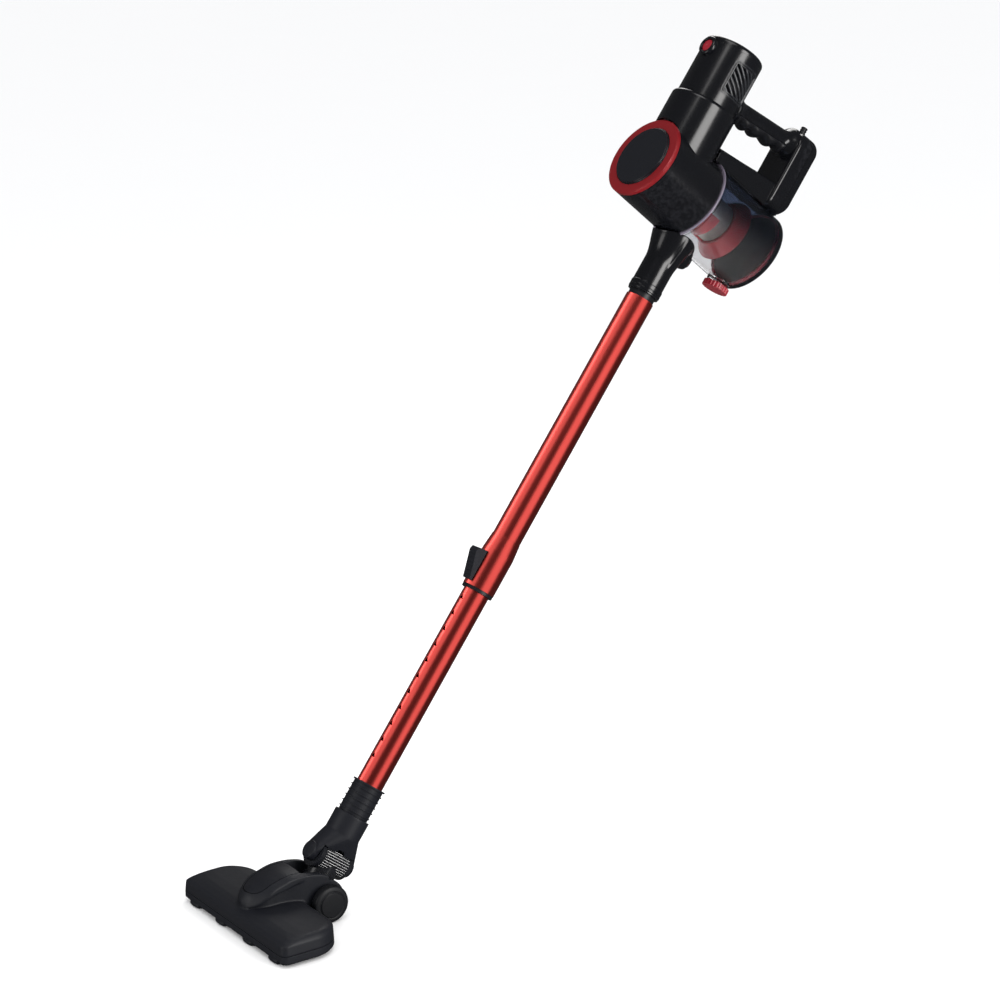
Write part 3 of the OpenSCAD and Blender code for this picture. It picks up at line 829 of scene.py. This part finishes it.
make_cuff()
make_pin_caps()

# ---------------------------------------------------------------- exhaust grilles
MOTOR_R = 37.5
# Middle and width of a grille, round the motor from its side
WINDOW_TURN, WINDOW_SPAN = math.radians(5), math.radians(58)
WINDOW_Z, WINDOW_HALF = 268.5, 19.5


def on_motor(side):
    """Maps distance round the motor, height and height above its surface to a point."""
    def place(s, z, h):
        a = WINDOW_TURN + s / MOTOR_R
        return (side * (MOTOR_R + h) * math.cos(a), (MOTOR_R + h) * math.sin(a), WINDOW_Z + z)
    return place


def make_grille(side, node):
    """A bowed picture frame round the window, slanting louvres and a dark sheet behind."""
    point = on_motor(side)
    half = MOTOR_R * WINDOW_SPAN / 2
    corner = 3.2
    path = []
    for cx, cz, start in ((1, 1, 0), (-1, 1, 90), (-1, -1, 180), (1, -1, 270)):
        for k in range(9):
            a = math.radians(start + k * 90 / 8)
            path.append((cx * (half - corner), cz * (WINDOW_HALF - corner), math.cos(a), math.sin(a)))
        nx, nz = math.cos(a), math.sin(a)
        ax, az = path[-1][0], path[-1][1]
        bx, bz = {(1, 1): (-1, 1), (-1, 1): (-1, -1), (-1, -1): (1, -1), (1, -1): (1, 1)}[(cx, cz)]
        bx, bz = bx * (half - corner), bz * (WINDOW_HALF - corner)
        for k in range(1, 16):
            path.append((ax + (bx - ax) * k / 16, az + (bz - az) * k / 16, nx, nz))
    section = [(-2.6, -0.5), (-2.5, 0.5), (-2.1, 1.0), (-1.3, 1.0), (-0.9, 0.6), (-0.6, -1.2), (0.4, -1.2),
               (0.4, 0.35), (0.75, 0.85), (1.4, 0.85), (1.85, 0.4), (1.9, -3.6), (-2.6, -3.6)]
    rings = []
    for x, z, nx, nz in path:
        rings.append([point(x + nx * (corner - n), z + nz * (corner - n), h) for n, h in section])
    new_piece(node + "_frame", loop_loft(rings, MOTOR), node, edge=0.00015, replaces=[node])
    lean, pitch, inner, tall = 0.70, 7.1, half - 1.3, WINDOW_HALF - 1.3
    for i in range(-4, 4):
        rings = []
        lines = []
        for c, h in ((-1.9, -3.2), (-1.85, -0.2), (-1.2, 0.35), (0, 0.5), (1.2, 0.35), (1.85, -0.2),
                     (1.9, -3.2)):
            z0 = i * pitch + 1.8 + c
            ends = sorted(((z0 - tall) / lean, (z0 + tall) / lean))
            lines.append((z0, h, max(ends[0], -inner), min(ends[1], inner)))
        if any(hi - lo < 2 for _, _, lo, hi in lines):
            continue
        for t in steps(0, 1, 24):
            rings.append([point(lo + (hi - lo) * t, z0 - lean * (lo + (hi - lo) * t), h)
                          for z0, h, lo, hi in lines])
        new_piece(f"{node}_louvre_{i + 5}", loft(rings, MOTOR), node)
    rings = [[point(s, z, h) for z, h in ((-tall, -3.4), (tall, -3.4), (tall, -4), (-tall, -4))]
             for s in steps(-inner, inner, 30)]
    new_piece(node + "_sheet", loft(rings, MOTOR), node, slot_name="seal_rubber")


def sector(r_in, r_out, y0, y1, a0, a1, place):
    """Part of a sleeve round the cyclone axis, between two angles from +x."""
    rings = []
    for a in steps(math.radians(a0), math.radians(a1), max(int(abs(a1 - a0) / 3), 3)):
        c, s = math.cos(a), math.sin(a)
        rings.append([(r * c, y, r * s) for r, y in ((r_in, y0), (r_out, y0), (r_out, y1), (r_in, y1))])
    return loft(rings, place)


def make_cup_details():
    rim = [(50.2, 86.9), (53.7, 86.9), (54.3, 87.3), (54.5, 88), (54.4, 88.8), (53.7, 89.3),
           (52.6, 89.5), (50.2, 89.5)]
    lip = new_piece("cup_rim", turned(rim, CYCLONE, "y", 160), "dust_cup", edge=0.0002)
    # Painted highlight: the rim's material is paler than the wall to show the light its thick edge gathers.
    lip.data.materials[0] = clear_rim()
    sleeve = [(19, 88), (30, 88), (30, 91), (28.5, 91.6), (28.5, 106), (28, 106.6),
              (25.7, 106.6), (25.6, 91), (19, 91)]
    new_piece("cyclone_frame_piece", turned(sleeve, CYCLONE, "y", 128), "cyclone_frame", edge=0.0003,
              replaces=["cyclone_frame"])
    for name, a0, a1 in (("lower", -100, -8), ("upper", 80, 172)):
        panel = sector(25.6, 28.4, 100, 124, a0, a1, CYCLONE)
        new_piece("cyclone_frame_" + name, panel, "cyclone_frame", edge=0.0004)
    for i, a in enumerate((100, 172, 252)):
        rib = sector(25.6, 28.3, 104, 142.5, a - 3, a + 3, CYCLONE)
        new_piece(f"cyclone_frame_rib_{i + 1}", rib, "cyclone_frame", edge=0.0004)


make_cup_details()
make_grille(1, "grille_right")
make_grille(-1, "grille_left")

# ---------------------------------------------------------------- bridge arm and pod
CUP_CLEAR = 54.1
POD_HALF, POD_Z, POD_TOP, POD_FRONT, POD_SEAM, POD_BACK = 25, 177, 281, 78, 99, 111


def make_bridge():
    half, fillet = 21, 6.5

    def top(x, y):
        over = max(abs(x) - (half - fillet), 0)
        top = follow([(-17, 199.6), (30, 204.6), (78, 210.6)], y)
        return top - fillet + math.sqrt(max(fillet ** 2 - over ** 2, 0))

    def bottom(x, y):
        return 137.6 - (y + 97.6) * CASING_TILT + math.sqrt(CUP_CLEAR ** 2 - x * x)

    mesh = slab(-17, 79, -1, 1, top, bottom, lambda y: half, rows=30, across=75, place=UNIT)
    new_piece("bridge_arm_piece", mesh, "bridge_arm", edge=0.0004, replaces=["bridge_arm"])


def pod_ring(x, inset):
    """The side view of the pod at x, pulled in by an inset and by its round corners seen from behind."""
    corner = 15 - math.sqrt(max(15 ** 2 - max(abs(x) - (POD_HALF - 15), 0) ** 2, 0))
    top, low = POD_TOP - corner, POD_Z + corner
    rounds = ((POD_FRONT + 9, top - 9, 9), (POD_BACK - 10, top - 10, 10), (POD_BACK - 13, low + 13, 13),
              (POD_FRONT + 5, low + 5, 5))
    ring = []
    for i in range(120):
        c, s = math.cos(math.tau * i / 120), math.sin(math.tau * i / 120)
        cy, cz, r = max(rounds, key=lambda q: q[0] * c + q[1] * s + q[2])
        ring.append((x, cy + (r - inset) * c, cz + (r - inset) * s))
    return ring


def make_pod():
    edge, rings = 4.5, []
    for x in steps(-POD_HALF, POD_HALF, 121):
        over = max(abs(x) - (POD_HALF - edge), 0) / edge
        rings.append(pod_ring(x, edge * (1 - math.sqrt(max(1 - over * over, 0))) * 0.98))
    whole = loft(rings, UNIT)
    saddle = turned([(0.05, 60), (52.6, 60), (52.6, 240), (0.05, 240)], CYCLONE, "y", 128)
    front = cut(whole.copy(), [block(-40, 40, POD_SEAM - 0.25, 130, 150, 320, UNIT), saddle,
                               block(-17, 17, 85, 130, 150, 190, UNIT)])
    new_piece("pod_shell_piece", front, "pod_shell", edge=0.0005, replaces=["pod_shell"])
    rear = cut(whole, [block(-40, 40, 60, POD_SEAM + 0.25, 150, 320, UNIT), saddle.copy(),
                       block(-17, 17, 85, 130, 150, 190, UNIT)])
    new_piece("pod_back_cover_piece", rear, "pod_back_cover", edge=0.0005, replaces=["pod_back_cover"])


make_bridge()
make_pod()

# ---------------------------------------------------------------- mesh screen
def make_screen():
    """The perforated cylinder, with a UV in millimetres for its holes."""
    around, r, thick, y0, y1 = 128, 25.5, 0.6, 91, 141
    mesh = turned([(r, y0), (r, y1), (r - thick, y1), (r - thick, y0)], CYCLONE, "y", around)
    back = CYCLONE.inverted()
    uv = mesh.uv_layers.new(name="mm")
    for poly in mesh.polygons:
        middle = back @ poly.center
        base = math.atan2(middle.z, middle.x)
        for loop in poly.loop_indices:
            p = back @ mesh.vertices[mesh.loops[loop].vertex_index].co
            turn = math.atan2(p.z, p.x)
            turn = base + (turn - base + math.pi) % math.tau - math.pi
            uv.data[loop].uv = (turn * r / 1.1, p.y / 1.1)
    new_piece("mesh_screen_piece", mesh, "mesh_screen", replaces=["mesh_screen"])


make_screen()

# ---------------------------------------------------------------- the other CAD nodes
EDGES = {"main_casing": 0.0007, "motor_housing": 0.0005, "motor_top_cap": 0.0003, "cover_ring": 0.0006,
         "cover_disc": 0.0007, "dust_cup": 0.0004, "cyclone_skirt": 0.0005, "cup_lid": 0.0008,
         "lid_latch_button": 0.0007, "telescope_collar": 0.0006, "telescope_button": 0.0008,
         "swivel_neck": 0.0006, "head_base_plate": 0.0008, "lower_tube": 0.0002, "upper_tube": 0.0003,
         "swivel_pins": 0.0005, "neck_sleeve": 0.0003, "cord_gland": 0.0003}
DONE = {"handle_body", "finger_grip", "inlet_duct", "wand_release_button", "head_top_shell", "bill_panel",
        "wheel_right", "wheel_left", "neck_cuff", "mesh_screen", "grille_right", "grille_left", "bridge_arm",
        "pod_shell", "pod_back_cover", "power_bezel", "power_button", "cyclone_frame"}
for node_name, node_object in frame["nodes"].items():
    if node_name not in DONE:
        polished(node_name, EDGES.get(node_name, 0.0003))

# ---------------------------------------------------------------- stage
SUN_WHITE = (1.0, 0.985, 0.97)
WORLD_LIGHT, WORLD_MIRRORED = 1.1, 0.075   # the room's light, and how bright polished surfaces mirror it
TUBES = ("upper_tube", "lower_tube", "telescope_collar")


def group(name, parts, state):
    """A light group of some pieces: a light given it shines only on them, or on all but them."""
    members = bpy.data.collections.new(name)
    for part in parts:
        members.objects.link(bpy.data.objects[part + "_piece"])
    for member in members.collection_objects:
        member.light_linking.link_state = state
    return members


def area_light(name, side, up, distance, size, power, target, lit=None):
    """A soft box placed round the object: side and up are angles from the camera's direction."""
    data = bpy.data.lights.new(name, "AREA")
    data.shape = "RECTANGLE"
    data.size, data.size_y = size
    data.energy = power
    data.color = SUN_WHITE
    light = bpy.data.objects.new(name, data)
    bpy.context.scene.collection.objects.link(light)
    toward = Matrix.Rotation(math.radians(side), 3, "Z") @ Vector((BACK[0], BACK[1], 0)).normalized()
    toward = (toward + Vector((0, 0, math.tan(math.radians(up))))).normalized()
    light.location = target + toward * distance
    light.rotation_euler = toward.to_track_quat("Z", "Y").to_euler()
    if lit:
        light.light_linking.receiver_collection = lit


def make_stage():
    middle = (Vector(CAD_BOX[0]) + Vector(CAD_BOX[1])) / 2
    tubes, others = group("tubes_only", TUBES, "INCLUDE"), group("all_but_tubes", TUBES, "EXCLUDE")
    ribs = group("ribs_only", ("swivel_ribs",), "INCLUDE")
    area_light("tube_left", -76, 38, 2.6, (3.2, 2.2), 20, middle, tubes)
    area_light("tube_right", 43, 0, 2.6, (2.2, 2.6), 21, middle, tubes)
    area_light("tube_gleam", -104, 32, 2.6, (0.6, 2.0), 13, middle, tubes)
    area_light("rib_light", 84, 0, 2.6, (1.1, 0.7), 50, middle, ribs)
    area_light("key_left", -64, 6, 2.6, (1.0, 2.2), 16, middle, others)
    area_light("key_right", 47, 8, 2.6, (1.0, 2.2), 52, middle, others)
    area_light("top", 10, 72, 2.4, (1.2, 1.2), 12, middle)
    area_light("back", 170, 35, 2.6, (1.2, 1.2), 16, middle)
    bpy.ops.mesh.primitive_plane_add(size=90, location=(0, 0, FLOOR_Z))
    floor = bpy.context.object
    floor.name = "floor"
    floor.visible_glossy = False
    pale = Shader("floor_white", (0.96, 0.96, 0.96), 0.8)
    pale.vary_color(pale.ramp(pale.noise(2.5, 2), 0.3, 0.7, 0, 0.25), (0.95, 0.95, 0.953))
    floor.data.materials.append(pale.mat)
    world = bpy.data.worlds.new("studio")
    world.use_nodes = True
    nodes, links = world.node_tree.nodes, world.node_tree.links
    ray, strength = nodes.new("ShaderNodeLightPath"), nodes.new("ShaderNodeMapRange")
    strength.inputs["To Min"].default_value = WORLD_LIGHT
    strength.inputs["To Max"].default_value = WORLD_MIRRORED
    links.new(ray.outputs["Is Glossy Ray"], strength.inputs["Value"])
    links.new(strength.outputs["Result"], nodes["Background"].inputs["Strength"])
    nodes["Background"].inputs["Color"].default_value = (0.985, 0.99, 1.0, 1)
    bpy.context.scene.world = world
    bpy.context.scene.view_settings.view_transform = "Standard"


make_stage()
